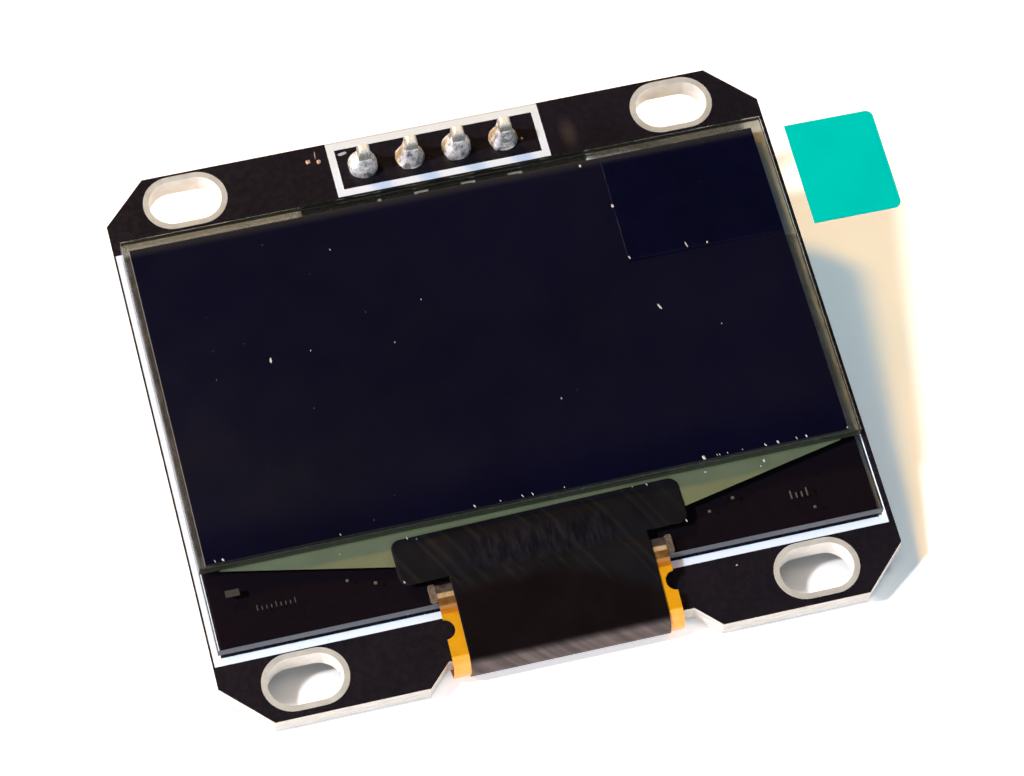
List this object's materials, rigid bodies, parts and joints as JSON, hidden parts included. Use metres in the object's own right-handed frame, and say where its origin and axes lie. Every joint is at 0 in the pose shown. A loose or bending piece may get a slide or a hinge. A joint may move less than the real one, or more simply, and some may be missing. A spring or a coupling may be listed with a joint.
{
  "type": "small oled display module",
  "caption": "Slotted rectangular circuit board carrying a flat glass display panel, a folded flexible ribbon over its lower edge, and a pin header at its upper edge.",
  "frame": {"origin": "centre of the mounting slot pattern, on the back face of the circuit board", "axes": "+X to the right along the display's long side, +Y up the board towards the pin header, +Z out of the display face"},
  "size_m": [0.0407, 0.0313, 0.0118],
  "materials": {
    "solder_mask": "black satin lacquer",
    "tinned_copper": "dull bright tin",
    "pin_metal": "tin plated",
    "solder": "bright",
    "header_plastic": "moulded",
    "white_ink": "printed",
    "black_adhesive": "foam",
    "panel_glass": "polished",
    "conductor_film": "satin",
    "seal_glue": "cured",
    "light_film": "mirror dark",
    "polarizer_sheet": "gloss",
    "clear_film": "gloss",
    "clear_tape": "gloss",
    "tab_plastic": "satin",
    "chip_silicon": "polished",
    "polyimide": "satin",
    "tape_black": "satin",
    "clear_glue": "cured",
    "resistor_glaze": "glazed",
    "capacitor_body": "fired",
    "moulded_case": "moulded"
  },
  "bodies": {
    "root": {"circuit_board": "solder_mask", "header_strip": "header_plastic", "header_outline": "white_ink", "display_outline": "white_ink", "pin_numbers": "white_ink", "adhesive_pad": "black_adhesive", "lower_glass": "panel_glass", "trace_fan": "conductor_film", "panel_seal": "seal_glue", "lit_film": "light_film", "upper_glass": "panel_glass", "polarizer": "polarizer_sheet", "protective_film": "clear_film", "pull_tape": "clear_tape", "pull_tab": "tab_plastic", "driver_chip": "chip_silicon", "flex_circuit": "polyimide", "tail_pad": "black_adhesive", "tail_contacts": "solder", "cover_tape": "tape_black", "glue_drop_left": "clear_glue", "glue_drop_right": "clear_glue", "chip_ends": "solder", "regulator_body": "moulded_case", "regulator_legs": "tinned_copper", "slot_liner_1": "tinned_copper", "slot_liner_2": "tinned_copper", "slot_liner_3": "tinned_copper", "slot_liner_4": "tinned_copper", "pin_pad_1": "tinned_copper", "pin_pad_2": "tinned_copper", "pin_pad_3": "tinned_copper", "pin_pad_4": "tinned_copper", "header_pin_1": "pin_metal", "header_pin_2": "pin_metal", "header_pin_3": "pin_metal", "header_pin_4": "pin_metal", "solder_joint_1": "solder", "solder_joint_2": "solder", "solder_joint_3": "solder", "solder_joint_4": "solder", "resistor_1": "resistor_glaze", "resistor_2": "resistor_glaze", "resistor_3": "resistor_glaze", "resistor_4": "resistor_glaze", "resistor_5": "resistor_glaze", "capacitor_1": "capacitor_body", "capacitor_2": "capacitor_body", "capacitor_3": "capacitor_body", "capacitor_4": "capacitor_body"}
  },
  "joints": []
}
